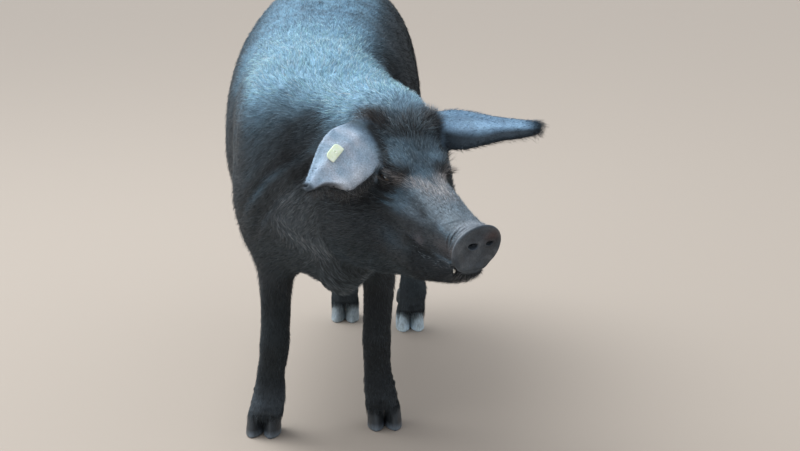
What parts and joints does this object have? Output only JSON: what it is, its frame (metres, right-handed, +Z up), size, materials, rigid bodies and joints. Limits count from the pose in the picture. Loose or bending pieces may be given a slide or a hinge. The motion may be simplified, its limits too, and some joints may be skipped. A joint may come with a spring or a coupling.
{
  "type": "standing black pig",
  "caption": "Life-size still model of a black domestic pig, standing with its head turned to its left, ears spread and a plain yellow tag in its right ear.",
  "frame": {"origin": "on the floor, under the middle of the whole animal's bounding box", "axes": "-Y the way the trunk faces, +X the animal's left, +Z up; the head is turned about 27 degrees towards +X"},
  "size_m": [0.5662, 1.2954, 0.7507],
  "materials": {
    "hide_slate": "slate-black hide under short black bristles",
    "hide_dark": "black hide under short black hair, on legs and tail",
    "muzzle_grey": "bare grey muzzle skin, slightly moist",
    "ear_grey": "thin grey ear skin with sparse hair",
    "horn_grey": "grey horn of the claws",
    "eye_dark": "wet dark eye",
    "tag_yellow": "pale yellow moulded plastic"
  },
  "bodies": {
    "root": {"trunk": "hide_slate", "neck": "hide_slate", "head": "hide_slate", "snout": "muzzle_grey", "tail": "hide_dark", "ear_left": "ear_grey", "eye_left": "eye_dark", "ear_right": "ear_grey", "eye_right": "eye_dark", "fore_left_upper": "hide_dark", "fore_left_lower": "hide_dark", "fore_left_claw_left": "horn_grey", "fore_left_dewclaw_left": "horn_grey", "fore_left_claw_right": "horn_grey", "fore_left_dewclaw_right": "horn_grey", "fore_right_upper": "hide_dark", "fore_right_lower": "hide_dark", "fore_right_claw_left": "horn_grey", "fore_right_dewclaw_left": "horn_grey", "fore_right_claw_right": "horn_grey", "fore_right_dewclaw_right": "horn_grey", "hind_left_upper": "hide_dark", "hind_left_lower": "hide_dark", "hind_left_claw_left": "horn_grey", "hind_left_dewclaw_left": "horn_grey", "hind_left_claw_right": "horn_grey", "hind_left_dewclaw_right": "horn_grey", "hind_right_upper": "hide_dark", "hind_right_lower": "hide_dark", "hind_right_claw_left": "horn_grey", "hind_right_dewclaw_left": "horn_grey", "hind_right_claw_right": "horn_grey", "hind_right_dewclaw_right": "horn_grey", "ear_tag_front": "tag_yellow", "ear_tag_back": "tag_yellow"}
  },
  "joints": []
}
